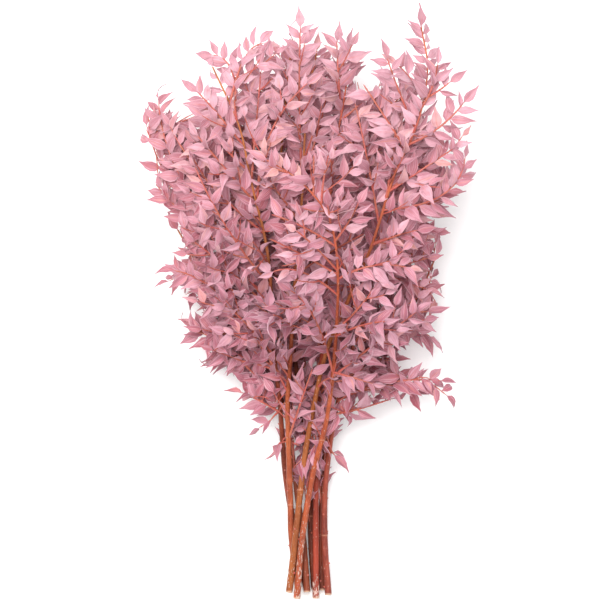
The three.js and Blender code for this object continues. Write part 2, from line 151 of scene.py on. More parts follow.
PRESS_BRANCH = 26
PRESS_LEAF = 6
BRANCH_FLOOR = 2.4
LEAF_FLOOR = 1.2
BRANCH_CLEAR = 1.2
WALK = 3
LENGTH_STEPS = 40
CANE_PIECES = 12
BOW_OF_A_PIECE = 1.5
BEND_STEP = 7
BEND_TRIES = 9
MIDDLE = np.array([-3.63, 1.753, 0.283])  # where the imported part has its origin

# A stem's name, the way it faces, the points that its cane passes, the heights of its joint rings and
# its long branches: where each leaves the cane, the point that it bends towards and its tip
STEMS = [
    ("stem_front", 90,
     [(-19, -326, 14), (-13.2, -260, 26), (-1, -187, 40), (14, -127, 62), (23, -51, 103), (26, 37, 160),
      (16, 94, 188), (-15, 134, 200), (-51, 157, 194)],
     [-150],
     [(-75, (4, -3, 150), (-25, 15, 165)), (-75, (42, -80, 112), (64, -87, 100)),
      (-81, (64, -45, 125), (112, -8, 135)), (-29, (48, -8, 140), (65, 17, 152)),
      (10, (-15, 47, 185), (-44, 36, 178)), (30, (64, 51, 180), (103, 40, 166)),
      (40, (1, 65, 190), (-19, 80, 204)), (64, (-10, 87, 200), (-46, 98, 190)),
      (69, (40, 91, 195), (48, 110, 201)), (107, (9, 137, 205), (16, 165, 204))]),
    ("stem_right_tall", 20,
     [(-27.5, -319, 13.5), (-21, -262, 25.6), (-12, -182, 36), (-3, -127, 48), (14, -51, 84), (40, 10, 112),
      (63, 64, 135), (88, 142, 158), (112, 195, 166), (124, 255, 170), (117, 303, 168)],
     [-205],
     [(64, (89, 76, 150), (112, 81, 150)), (87, (57, 170, 168), (45, 219, 160)),
      (102, (160, 108, 160), (165, 160, 158)), (110, (86, 155, 162), (89, 190, 168)),
      (126, (122, 150, 172), (147, 167, 166)), (169, (80, 201, 178), (54, 240, 176)),
      (174, (141, 190, 178), (163, 220, 176)), (192, (93, 228, 182), (80, 268, 182)),
      (215, (132, 238, 178), (135, 262, 172)), (224, (108, 247, 176), (91, 262, 172))]),
    ("stem_centre_tall", 105,
     [(-17.7, -314, 5), (-24.5, -262, 17.5), (-26, -222, 28), (-28, -164, 41), (-29, -107, 56),
      (-27, -73, 68), (-23, -10, 92), (-18, 60, 112), (-13, 121, 128), (-8, 216, 138), (3, 278, 128)],
     [-222],
     [(-97, (-94, 28, 98), (-152, 37, 90)), (126, (-18, 220, 145), (-15, 303, 142)),
      (-150, (-14, -105, 75), (-2, -72, 80)), (140, (6, 186, 122), (14, 232, 116))]),
    ("stem_left_tall", 155,
     [(-7.6, -318, 4.2), (-21.5, -250, 8), (-31, -193, 18), (-35, -149, 30), (-38, -107, 50),
      (-45, -42, 78), (-48, 28, 105), (-54, 74, 122), (-69, 135, 142), (-82, 195, 154), (-111, 260, 152)],
     [-270],
     [(-152, (-38, -153, 32), (-41, -157, 33)), (-120, (-44, -122, 50), (-47, -127, 50)),
      (-122, (-57, -107, 60), (-78, -98, 55)), (-107, (-87, -52, 70), (-129, -26, 55)),
      (-74, (-75, -59, 70), (-111, -62, 50)), (5, (-112, 62, 110), (-174, 132, 98)),
      (20, (-101, 82, 150), (-130, 150, 150)), (43, (-165, 119, 120), (-171, 225, 105)),
      (30, (-160, 98, 100), (-184, 196, 92)), (76, (-134, 142, 136), (-158, 196, 128)),
      (109, (-101, 153, 160), (-127, 184, 158)), (106, (-64, 192, 165), (-8, 241, 172)),
      (137, (-62, 214, 150), (-58, 255, 150)), (174, (-109, 214, 160), (-127, 232, 150)),
      (208, (-81, 269, 155), (-110, 273, 150)), (219, (-78, 285, 165), (-56, 285, 165))]),
    ("stem_centre", 70,
     [(2.2, -326, 12.1), (2, -247, 17.2), (2.4, -187, 23.5), (3.4, -160, 27), (5, -105, 40), (9, -50, 57),
      (13, 11, 84), (14, 48, 98), (20, 148, 122), (33, 225, 122), (38, 262, 116)],
     [-140],
     [(214, (26, 247, 132), (25, 288, 132)), (100, (44, 150, 106), (62, 202, 100)),
      (40, (52, 88, 90), (74, 142, 84)), (-162, (3, -155, 42), (9, -146, 47))]),
    ("stem_right", 0,
     [(16, -322, 9.3), (11.8, -255, 18.8), (14, -187, 28), (27, -104, 48), (42, -50, 66), (68, 50, 100),
      (106, 94, 118), (135, 128, 120)],
     [-256],
     [(-160, (20, -163, 34), (22, -166, 35)), (-120, (45, -118, 62), (86, -104, 58)),
      (-105, (79, -78, 85), (139, -84, 70)), (-96, (78, -89, 70), (112, -97, 58)),
      (-45, (95, -21, 100), (121, -17, 95)), (36, (82, 112, 100), (84, 176, 98))]),
    ("stem_low_right", -25,
     [(9, -317, 4.6), (7, -273, 8), (9, -215, 12), (13, -160, 20), (22, -105, 32), (36, -74, 37),
      (59, -50, 43), (86, -26, 50), (111, 0, 56), (135, 54, 62)],
     [-190],
     [(-62, (72, -22, 32), (96, 14, 7))]),
    ("stem_low_left", 200,
     [(-7.7, -319, 12.7), (-12, -259, 14), (-19.5, -204, 18), (-26, -149, 22), (-37, -103, 34),
      (-57, -70, 42), (-81, -33, 50), (-121, 32, 64), (-150, 82, 72)],
     [-170],
     [(-62, (-88, -12, 34), (-108, 28, 7))]),
    ("stem_behind", 265,
     [(0.7, -316, 4.2), (-3, -264, 6), (-4, -215, 9), (-9, -160, 13), (-15, -105, 22), (-24, -39, 32),
      (-33, 27, 41), (-37, 93, 49), (-37, 153, 57), (-31, 230, 66), (-24, 292, 72)],
     [-235],
     [(95, (-22, 150, 34), (-12, 190, 8))]),
]


DRAW_TIMES = 16807
DRAW_WITHIN = 2147483647


def draws_from(seed, step=0, own=0):
    """Seeded draws from 0 to 1, with a seed of its own for each stem."""
    state = seed + step * own
    while True:
        state = (state * DRAW_TIMES) % DRAW_WITHIN
        yield state / DRAW_WITHIN


def mix(a, b, share):
    return a + (b - a) * share


def smoothstep(x, low, high):
    share = min(1.0, max(0.0, (x - low) / (high - low)))
    return share * share * (3 - 2 * share)


def unit(a):
    return a / math.sqrt(a @ a)


def square_to(a, along):
    return unit(a - along * (a @ along))


def turned(a, b, angle):
    """Two ways at right angles: a, turned towards b."""
    return a * math.cos(angle) + b * math.sin(angle)


def outward_at(point):
    """The way from the middle of the head's length out to a point."""
    return unit(np.array([point[0] - HEAD_CENTRE[0], 0, point[2] - HEAD_CENTRE[2]]))


def pressed(z, knee, floor):
    """What lies under knee is squeezed in between the floor and knee."""
    z, room_left = np.asarray(z, float), knee - floor
    return np.where(z >= knee, z, floor + room_left * np.exp((np.minimum(z, knee) - knee) / room_left))


def cane_curve(points):
    points = np.array(points, float)
    ends = np.vstack([2 * points[0] - points[1], points, 2 * points[-1] - points[-2]])
    spans = len(points) - 1

    def at(t):
        span = min(int(spans * t), spans - 1)
        w = spans * t - span
        before, a, b, after = ends[span:span + 4]
        leaves, arrives = 0.5 * (b - before), 0.5 * (after - a)
        square = -3 * a + 3 * b - 2 * leaves - arrives
        return a + leaves * w + square * w ** 2 + (2 * a - 2 * b + leaves + arrives) * w ** 3

    return at


def branch_curve(start, knee, tip):
    return lambda t: start * (1 - t) ** 2 + knee * (2 * t * (1 - t)) + tip * t ** 2


def at_height(curve, y):
    low, high = 0.0, 1.0
    for _ in range(30):
        half = (low + high) / 2
        if curve(half)[1] < y:
            low = half
        else:
            high = half
    return (low + high) / 2


def length_of(curve):
    points = np.array([curve(i / LENGTH_STEPS) for i in range(LENGTH_STEPS + 1)])
    return float(np.sqrt(((points[1:] - points[:-1]) ** 2).sum(1)).sum())


def heading_at(curve, t):
    return unit(curve(min(1, t + 0.001)) - curve(max(0, t - 0.001)))


class Bar:
    """A bent stick: its curve, the shares of it where the CAD's stick turns, and its thickness."""

    def __init__(self, curve, rows, radius_at, rings=()):
        self.curve, self.rows, self.radius_at, self.rings = curve, rows, radius_at, rings
        self.length = length_of(curve)

    def middle(self, t):
        after = max(1, next(i for i, row in enumerate(self.rows) if row >= t))
        a, b = self.rows[after - 1], self.rows[after]
        start = self.curve(a)
        return start + (self.curve(b) - start) * ((t - a) / (b - a))

    def walk(self):
        steps = max(2, int(self.length / WALK + 0.5))
        shares = [i / steps for i in range(steps + 1)]
        return [np.append(self.middle(t), self.radius_at(t)) for t in shares]


def cane_radius(t):
    return CROWN_RADIUS + (FOOT_RADIUS - CROWN_RADIUS) * (1 - t) ** TAPER


def cane_bar(points, ring_heights):
    curve = cane_curve(points)
    rings = [at_height(curve, y) for y in ring_heights]
    half = RING_HALF / length_of(curve)
    clear = [i / CANE_PIECES for i in range(CANE_PIECES + 1)]
    clear = [t for t in clear if all(abs(t - ring) > 2 * half for ring in rings)]
    rows = sorted(clear + [ring + k * half for ring in rings for k in (-1, 0, 1)])
    return Bar(curve, rows, lambda t: cane_radius(t) + (RING_SWELL if t in rings else 0), rings)


def branch_bar(start, knee, tip):
    ends = [np.array([p[0], p[1], pressed(p[2], PRESS_BRANCH, BRANCH_FLOOR)]) for p in (knee, tip)]
    bow = start - 2 * ends[0] + ends[1]
    pieces = max(2, math.ceil(math.sqrt(math.sqrt(bow @ bow) / 4 / BOW_OF_A_PIECE)))
    rows = [i / pieces for i in range(pieces + 1)]
    return Bar(branch_curve(start, *ends), rows, lambda t: mix(BRANCH_RADIUS, BRANCH_TIP_RADIUS, t))


def reach_to_head(start, way):
    p, d = (start - HEAD_CENTRE) / HEAD_RADII, way / HEAD_RADII
    a, b, c = d @ d, p @ d, p @ p - 1
    return 0 if c >= 0 else (math.sqrt(b * b - a * c) - b) / a


def ruled_branch(cane, faces, t, turn, draw):
    start = cane.middle(t)
    along = heading_at(cane.curve, t)
    angle = math.radians(faces + FAN * (2 * turn - 1))
    side = square_to(np.array([math.cos(angle), 0, math.sin(angle)]), along)
    rise = math.radians(BRANCH_RISE[0] + BRANCH_RISE[1] * (next(draw) - 0.5))
    way = turned(along, side, rise)
    longest = mix(BRANCH_LONGEST, CROWN_BRANCH, smoothstep(t, *SHORTENS))
    shortest = min(BRANCH_SHORTEST, longest)
    reach = min(max(reach_to_head(start, way), shortest), longest) * mix(*REACH_VARIES, next(draw))
    knee = start + way * (reach * BRANCH_HALVES[0])
    arch = mix(*BRANCH_ARCH, smoothstep(start[1], *ARCH_TURNS))
    return knee, knee + unit(way + np.array([0, arch, BRANCH_SAG])) * (reach * BRANCH_HALVES[1])


def grow_branches(canes):
    """The branches of every stem, each bent up or down until it is clear of the stems before it."""
    taken = [np.array(cane.walk()) for cane in canes]

    def is_clear(walk, own):
        for owner, points in enumerate(taken):
            if owner == own:
                continue
            apart = np.sqrt(((points[:, None, :3] - walk[None, :, :3]) ** 2).sum(2))
            if (apart <= points[:, None, 3] + walk[None, :, 3] + BRANCH_CLEAR).any():
                return False
        return True

    bunch = []
    for own, (_, faces, _, _, long_branches) in enumerate(STEMS):
        cane = canes[own]
        draw = draws_from(*BRANCH_SEED, own)
        wanted = [(at_height(cane.curve, y), np.array(knee, float), np.array(tip, float))
                  for y, knee, tip in long_branches]
        t = at_height(cane.curve, LOWEST_BRANCH[0] + LOWEST_BRANCH[1] * (own % 4))
        turn = STEM_TURN * own
        while t < HIGHEST_BRANCH:
            turn = (turn + GOLDEN) % 1
            wanted.append((t, *ruled_branch(cane, faces, t, turn, draw)))
            t += BRANCH_EVERY / cane.length
        grown = []
        for t, knee, tip in wanted:
            for tries in range(BEND_TRIES):
                lift = (1 if tries % 2 else -1) * math.ceil(tries / 2) * BEND_STEP
                shift = np.array([0, 0, lift])
                branch = branch_bar(cane.middle(t), knee + shift, tip + shift)
                walk = np.array(branch.walk())
                if is_clear(walk, own):
                    taken[own] = np.vstack([taken[own], walk])
                    grown.append(branch)
                    break
        bunch.append(grown)
    return bunch


def spot_on(leaf, share):
    """A point of a leaf's rib, at a share of its length."""
    return leaf[0] + leaf[1] * (leaf[3] * share)


def leaves_along(bar, first, draw, step=LEAF_STEP, scale=1.0, upward=LEAF_UPWARD):
    """Leaves from first to a bar's tip: root, way it points, way its face looks, length and draws."""
    count = max(1, int(bar.length * (1 - first) / step))
    leaves = []
    for i in range(count + 1):
        t = mix(first, 1, i / count)
        root = bar.curve(t)
        along = heading_at(bar.curve, t)
        random = [next(draw) for _ in range(6)]
        last = i == count
        stray = LEAF_STRAY * np.array([random[0] - 0.5, random[1] - 0.3, random[2] - 0.5])
        look = outward_at(root) * LEAF_OUTWARD + stray + np.array([0, 0, upward])
        face = square_to(look, along)
        side = np.cross(along, face)
        spread = END_SPREAD if last else math.radians(LEAF_SPREAD[0] + LEAF_SPREAD[1] * (random[3] - 0.5))
        points = turned(along, side * (1 if i % 2 else -1), spread)
        points = unit(points + face * (LEAF_LIFT * (random[4] - 0.6)))
        size = LEAF_LENGTH * mix(*LEAF_SIZES, random[5]) * mix(1, TIP_LEAF, t * t) * scale
        leaves.append((root, points, square_to(face, points), size, random))
    return leaves


# Short side twigs that fill the head out between the branches
TWIG_EVERY = {"stem_front": 19, "stem_right_tall": 38, "stem_centre_tall": 17,
              "stem_left_tall": 20, "stem_centre": 14, "stem_right": 20,
              "stem_low_right": 8, "stem_low_left": 8, "stem_behind": 8}
TWIG_LENGTHS = (30, 58)
TWIG_SHORTENS = (1.1, 0.5)  # at its bar's root and tip
TWIG_NEAR_TIP = (0.8, 10)  # share of what is left of its bar, and mm, that it may reach
TWIG_HIGHEST = 0.8
TWIG_STEPS = (0.8, 1.2)
TWIG_RISE = (40, 22)  # degrees at the least, and how much more
TWIG_FAN = 0.72  # of a half turn
TWIG_LEAF_STEP = 6.9
TWIG_LEAF = 0.92
TWIG_UPWARD = 1.5
TWIG_MARGIN = -0.006  # metres about the CAD's box, and above the floor
TWIG_LOWEST = 0.006
LEAF_MARGIN = 0.006
LEAF_LOWEST = 0.0002
BARE_TWIG = 0.25  # share of a twig before its first leaf
HEAD_EDGE = 1.15  # of the head's outline from above, squared
BAY_SHARE = 0.6  # of the leaves with their tips in a bay are left off
# Bays that the outline keeps open between the stems' tips: x, y and radius
BAYS = [(46, 252, 15), (58, 230, 10), (84, 200, 9), (-188, 168, 17), (-180, 148, 9), (-160, 76, 12),
        (-168, 92, 11), (-164, 184, 11), (133, 60, 7), (132, -4, 9), (122, -46, 9), (64, -118, 11),
        (86, -110, 11), (-72, -102, 9), (100, -112, 8)]


def in_the_box(places, margin, lowest):
    """Do all places, in metres, stay in the CAD's box, within a margin and above the lowest?"""
    low, high = np.array(cad_box[0]) - margin, np.array(cad_box[1]) + margin
    low[2] = lowest
    return bool((places > low).all() and (places < high).all())


def in_a_bay(point):
    return any((point[0] - x) ** 2 + (point[1] - y) ** 2 < radius ** 2 for x, y, radius in BAYS)


def in_the_head(point):
    spot = ((point - HEAD_CENTRE) / HEAD_RADII)[:2]
    return spot @ spot < HEAD_EDGE and not in_a_bay(point)


def side_twigs(bar, first, every, draw):
    twigs = []
    t, turn = first, next(draw)
    while t < TWIG_HIGHEST:
        turn = (turn + GOLDEN) % 1
        start = bar.curve(t)
        along = heading_at(bar.curve, t)
        up = square_to(outward_at(start) + np.array([0.01, 0.02, 0.35]), along)
        across = np.cross(along, up)
        angle = math.pi * (2 * turn - 1) * TWIG_FAN
        side = turned(up, across, angle)
        rise = math.radians(TWIG_RISE[0] + TWIG_RISE[1] * next(draw))
        way = turned(along, side, rise)
        reach = mix(*TWIG_LENGTHS, next(draw)) * mix(*TWIG_SHORTENS, t)
        reach = min(reach, (1 - t) * bar.length * TWIG_NEAR_TIP[0] + TWIG_NEAR_TIP[1])
        knee = start + way * reach / 2
        tip = knee + unit(way + along / 2 + np.array([0, 0.1, -0.1])) * reach / 2
        twig = branch_bar(start, knee, tip)
        fits = in_the_box((tip - MIDDLE) / 1000, TWIG_MARGIN, TWIG_LOWEST)
        if fits and in_the_head(tip) and not in_a_bay(knee):
            twigs.append(twig)
        t += every * mix(*TWIG_STEPS, next(draw)) / bar.length
    return twigs


# Where the ground still shows through the head, a low stem gets one more twig
CELL = 3.0
ENCLOSED = 5  # cells
GROUND_CELLS = (150, 240)
FILL_SEED = 777
FILL_STARTS = 12  # marks along a bar, and such a twig may start at all but the first two
FILL_HEIGHTS = (12, 105)
FILL_REACH = (8, 48)
FILL_PAST = 9  # mm beyond the gap
FILL_LIFT = (-6, 12)
FILL_BEND = np.array([0, 4, 5])
HEIGHT_COST = 0.35
OUT_OF_REACH = 1000
FILL_LEAF_STEP = 4.6
FILL_UPWARD = 2.6
# Shares of a leaf's length and of half its width, at the points that say which cells it hides
LEAF_COVERS = ((0.1, 0.3), (0.25, 0.75), (0.4, 1.0), (0.55, 0.9), (0.7, 0.6), (0.85, 0.3))
ROWS_AND_SIDES = [(along, share * side) for along, share in LEAF_COVERS for side in (-0.6, 0, 0.6)]


def cell_of(spot):
    return int(spot[0] // CELL) + GROUND_CELLS[0] // 2, int(spot[1] // CELL) + GROUND_CELLS[1] // 2


def hide_ground(ground, leaves):
    for root, points, face, size, _ in leaves:
        across = np.cross(points, face) * (LEAF_WIDTH / 2)
        for along, side in ROWS_AND_SIDES:
            ground[cell_of(root + (points * along + across * side) * size)] = True


def gaps_in(ground):
    """The open cells that have a leaf near them on every side."""
    gap = ~ground
    for step in ((1, 0), (-1, 0), (0, 1), (0, -1), (1, 1), (-1, -1), (1, -1), (-1, 1)):
        near = np.zeros_like(ground)
        for far in range(1, ENCLOSED + 1):
            near |= np.roll(ground, (step[0] * far, step[1] * far), (0, 1))
        gap &= near
    return np.argwhere(gap)


def stays_hidden(leaf, body):
    return all(body[cell_of(spot_on(leaf, share))] for share in (0.5, 1.0))


def filling_twigs(bunch, covers):
    """For each stem the twigs that close the gaps, with their leaves."""
    starts = np.array([(*bar.curve(k / FILL_STARTS), own)
                       for own, bars in enumerate(bunch) for bar in bars for k in range(2, FILL_STARTS)])
    starts = starts[(starts[:, 2] > FILL_HEIGHTS[0]) & (starts[:, 2] < FILL_HEIGHTS[1])]
    ground = np.zeros(GROUND_CELLS, bool)
    for leaves in covers:
        hide_ground(ground, leaves)
    draw = draws_from(FILL_SEED)
    added = [[] for _ in bunch]
    gaps = gaps_in(ground)
    body = ground.copy()
    body[gaps[:, 0], gaps[:, 1]] = True
    for i, j in gaps:
        if ground[i, j]:
            continue
        spot = (np.array([i - GROUND_CELLS[0] // 2, j - GROUND_CELLS[1] // 2]) + 0.5) * CELL
        way = spot - starts[:, :2]
        far = np.sqrt((way ** 2).sum(1))
        in_reach = (far > FILL_REACH[0]) & (far < FILL_REACH[1])
        cost = far + HEIGHT_COST * starts[:, 2] + np.where(in_reach, 0, OUT_OF_REACH)
        best = int(cost.argmin())
        if cost[best] >= OUT_OF_REACH:
            continue
        start, own = starts[best, :3], int(starts[best, 3])
        over = way[best] * (1 + FILL_PAST / far[best])
        tip = start + np.array([*over, mix(*FILL_LIFT, next(draw))])
        knee = (start + tip) / 2 + FILL_BEND
        twig = branch_bar(start, knee, tip)
        leaves = leaves_along(twig, BARE_TWIG, draw, FILL_LEAF_STEP, 1.0, FILL_UPWARD)
        leaves = [leaf for leaf in leaves if stays_hidden(leaf, body)]
        hide_ground(ground, leaves)
        if leaves:
            added[own].append((twig, leaves))
    return added


# Shoots between the canes, just under the head: y of the start, point it bends towards and tip
SHOOTS = {
    "stem_behind": [(-250, (-10, -214, 20), (-15, -166, 22)), (-222, (-8, -186, 18), (-14, -140, 22)),
                    (-190, (-13, -150, 24), (-12, -98, 32)), (-150, (-4, -120, 26), (2, -72, 34))],
    "stem_low_left": [(-215, (-24, -180, 22), (-22, -142, 28)), (-175, (-26, -130, 34), (-30, -88, 40)),
                      (-140, (-14, -112, 40), (-9, -80, 44))],
    "stem_low_right": [(-235, (6, -196, 18), (5, -150, 20)), (-210, (3, -176, 16), (-3, -134, 20)),
                       (-185, (14, -140, 30), (17, -92, 44)), (-150, (6, -118, 30), (9, -80, 40))],
    "stem_centre": [(-170, (2, -128, 46), (-6, -92, 58))],
    "stem_left_tall": [(-175, (-27, -132, 38), (-21, -92, 52))],
}

# Sprigs that a branch's end carries: start, point it bends towards and tip
SPRIGS = {
    "stem_right": [((124, -83, 76), (136, -92, 72), (146, -100, 66)),
                   ((30, -112, 52), (34, -118, 52), (37, -122, 48))],
    "stem_left_tall": [((-122, -31, 58), (-132, -28, 60), (-138, -22, 56)),
                       ((-47, -127, 50), (-54, -132, 50), (-60, -136, 46))],
    "stem_low_left": [((-126, 40, 66), (-148, 32, 66), (-160, 26, 60))],
    "stem_right_tall": [((145, 165, 168), (156, 174, 172), (162, 184, 170))],
}

# Stretches of cane that show between the leaves, from y to y
OPEN_STRETCHES = {
    "stem_front": [(-270, 70)],
    "stem_right_tall": [(-270, -40), (60, 220)],
    "stem_centre_tall": [(-270, -70), (115, 190)],
    "stem_left_tall": [(-270, -90), (10, 135)],
    "stem_right": [(-270, -150)],
}
OPEN_WIDTH = 4.5  # kept free to either side of such a cane
BRANCH_WIDTH = 2.2
SHOOT_WIDTH = 6.0
HIGH_BRANCH = 118  # height of the middle of a branch that shows too
STAYS_OVER = 0.22  # share of the leaves over them that stay
TWIG_NEEDS = 2  # leaves
SHOOT_LEAF = 0.84
BARE_SPRIG = 0.2


def open_points(canes, branches):
    """Points along the canes and branches that show, each with the width that is kept free over it."""
    points = []
    for (name, *_), cane, bars in zip(STEMS, canes, branches):
        for low, high in OPEN_STRETCHES.get(name, []):
            ends = at_height(cane.curve, low), at_height(cane.curve, high)
            steps = int((high - low) / WALK)
            points += [(*cane.curve(mix(*ends, k / steps)), OPEN_WIDTH) for k in range(steps + 1)]
        for bar in bars:
            if bar.curve(0.5)[2] > HIGH_BRANCH:
                steps = int(bar.length / WALK)
                points += [(*bar.curve(k / steps), BRANCH_WIDTH) for k in range(steps + 1)]
    return np.array(points)


def hides_wood(leaf, share=STAYS_OVER, width=0.0):
    """Does a leaf lie over wood that shows? A share of such leaves stays, by a draw of their own."""
    if leaf[4][2] < share:
        return False
    for along in (0.3, 0.5, 0.7, 0.9):
        spot = spot_on(leaf, along)
        near = ((SHOWN[:, :2] - spot[:2]) ** 2).sum(1) < np.maximum(SHOWN[:, 3], width) ** 2
        if (near & (SHOWN[:, 2] < spot[2])).any():
            return True
    return False


# Modelling by hand

THICKNESS = 0.00034  # of a leaf's blade
LEAF_COLUMNS = 4
# Shares of a leaf's length, and of its greatest width there
LEAF_ROWS = [(0.0, 0.10), (0.07, 0.15), (0.21, 0.80), (0.38, 1.0), (0.59, 0.76), (0.79, 0.30), (1.0, 0.02)]
WAVE_STEP = 2.4
WAVE_STARTS = {-2: 2.9, 2: 0.8}  # of its left and right edge
ARCH_ENDS = 1.15
HOOK_FROM = 0.45


def in_metres(point):
    return Vector((np.asarray(point, float) - MIDDLE) / 1000)


def pick(piece, chosen, kind="verts"):
    """In edit mode, selects just the vertices or faces that the test is true of."""
    mesh = bmesh.from_edit_mesh(piece.data)
    for vertex in mesh.verts:
        vertex.select_set(False)
    for part in getattr(mesh, kind):
        part.select_set(bool(chosen(part)))
    mesh.select_flush_mode()
    bmesh.update_edit_mesh(piece.data)


def start_edit(kind="VERT"):
    bpy.ops.object.mode_set(mode="EDIT")
    bpy.ops.mesh.select_mode(type=kind)


def end_edit():
    bpy.ops.object.mode_set(mode="OBJECT")


def face_outwards():
    bpy.ops.mesh.select_all(action="SELECT")
    bpy.ops.mesh.normals_make_consistent(inside=False)
    end_edit()


def apply_modifier(piece, kind, **settings):
    modifier = piece.modifiers.new(kind.lower(), kind)
    for name, value in settings.items():
        setattr(modifier, name, value)
    bpy.context.view_layer.objects.active = piece
    bpy.ops.object.modifier_apply(modifier=modifier.name)


def select_only(*pieces):
    bpy.ops.object.select_all(action="DESELECT")
    for piece in pieces:
        piece.select_set(True)
    bpy.context.view_layer.objects.active = pieces[0]


def smooth(piece, degrees):
    select_only(piece)
    bpy.ops.object.shade_smooth_by_angle(angle=math.radians(degrees))


def model_leaf(name, width, fold, arch, hook, twist, wave):
    """One leaf with its root at the origin, its tip along +Y and its face up."""
    bpy.ops.object.select_all(action="DESELECT")
    rows = len(LEAF_ROWS) - 1
    bpy.ops.mesh.primitive_grid_add(x_subdivisions=LEAF_COLUMNS, y_subdivisions=rows, size=1)
    leaf = bpy.context.object
    leaf.name = name
    length = LEAF_LENGTH / 1000
    half = length * LEAF_WIDTH / 2 * width
    start_edit()
    row_of = {v.index: round((v.co.y + 0.5) * rows) for v in bmesh.from_edit_mesh(leaf.data).verts}
    side_of = {v.index: round(v.co.x * LEAF_COLUMNS) for v in bmesh.from_edit_mesh(leaf.data).verts}
    for row, (along, share) in enumerate(LEAF_ROWS):
        here = (0, row / rows - 0.5, 0)
        pick(leaf, lambda v: row_of[v.index] == row)
        bpy.ops.transform.resize(value=(2 * half * share, 1, 1), center_override=here)
        # the two halves stand up from the rib, and one edge waves against the other
        for side in (-2, -1, 1, 2):
            rise = abs(side) / 2 * half * share * math.tan(fold)
            if side in WAVE_STARTS:
                rise += wave * half * math.sin(WAVE_STEP * row + WAVE_STARTS[side])
            pick(leaf, lambda v: row_of[v.index] == row and side_of[v.index] == side)
            bpy.ops.transform.translate(value=(0, 0, rise))
        pick(leaf, lambda v: row_of[v.index] == row)
        bpy.ops.transform.rotate(value=-twist * along, orient_axis="Y", center_override=here)
        bulge = arch * math.sin(math.pi * min(1, along * ARCH_ENDS))
        bulge -= hook * max(0, along - HOOK_FROM) ** 2
        bpy.ops.transform.translate(value=(0, along * length - here[1], bulge * length))
    pick(leaf, lambda v: row_of[v.index] == rows)
    bpy.ops.mesh.remove_doubles(threshold=0.0005)
    end_edit()
    apply_modifier(leaf, "SOLIDIFY", thickness=THICKNESS, offset=0)
    start_edit()
    face_outwards()
    smooth(leaf, 50)
    return leaf


def model_stick(name, marks, sides):
    """A straight stick along +X: a disc drawn out ring by ring to each mark, a distance and a radius."""
    bpy.ops.object.select_all(action="DESELECT")
    bpy.ops.mesh.primitive_circle_add(vertices=sides, radius=marks[0][1], fill_type="NGON",
                                      location=(marks[0][0], 0, 0), rotation=(0, math.pi / 2, 0))
    stick = bpy.context.object
    stick.name = name
    bpy.ops.object.transform_apply(location=True, rotation=True, scale=True)
    start_edit("FACE")
    bpy.ops.mesh.select_all(action="SELECT")
    for (before, thick), (here, thin) in zip(marks, marks[1:]):
        bpy.ops.mesh.extrude_region_move(TRANSFORM_OT_translate={"value": (here - before, 0, 0)})
        bpy.ops.transform.resize(value=(1, thin / thick, thin / thick), center_override=(here, 0, 0))
    face_outwards()
    return stick


def lay_along(stick, route):
    """Bends a straight stick along a route of points, in metres, from its first to its last."""
    line = bpy.data.curves.new("route", "CURVE")
    line.dimensions = "3D"
    line.use_stretch = True
    line.use_deform_bounds = True
    spline = line.splines.new("POLY")
    spline.points.add(len(route) - 1)
    for point, place in zip(spline.points, route):
        point.co = (*place, 1)
    guide = bpy.data.objects.new("route", line)
    put_in_scene(guide)
    apply_modifier(stick, "CURVE", object=guide, deform_axis="POS_X")
    bpy.data.objects.remove(guide)
    bpy.data.curves.remove(line)


def copy_of(master, name):
    twin = master.copy()
    twin.data = master.data.copy()
    twin.name = name
    put_in_scene(twin)
    return twin


def joined(name, pieces):
    select_only(*pieces)
    if len(pieces) > 1:
        bpy.ops.object.join()
    whole = bpy.context.object
    whole.name = name
    whole.data.name = name
    return whole


def drop(piece):
    mesh = piece.data
    bpy.data.objects.remove(piece)
    bpy.data.meshes.remove(mesh)


# Finishes


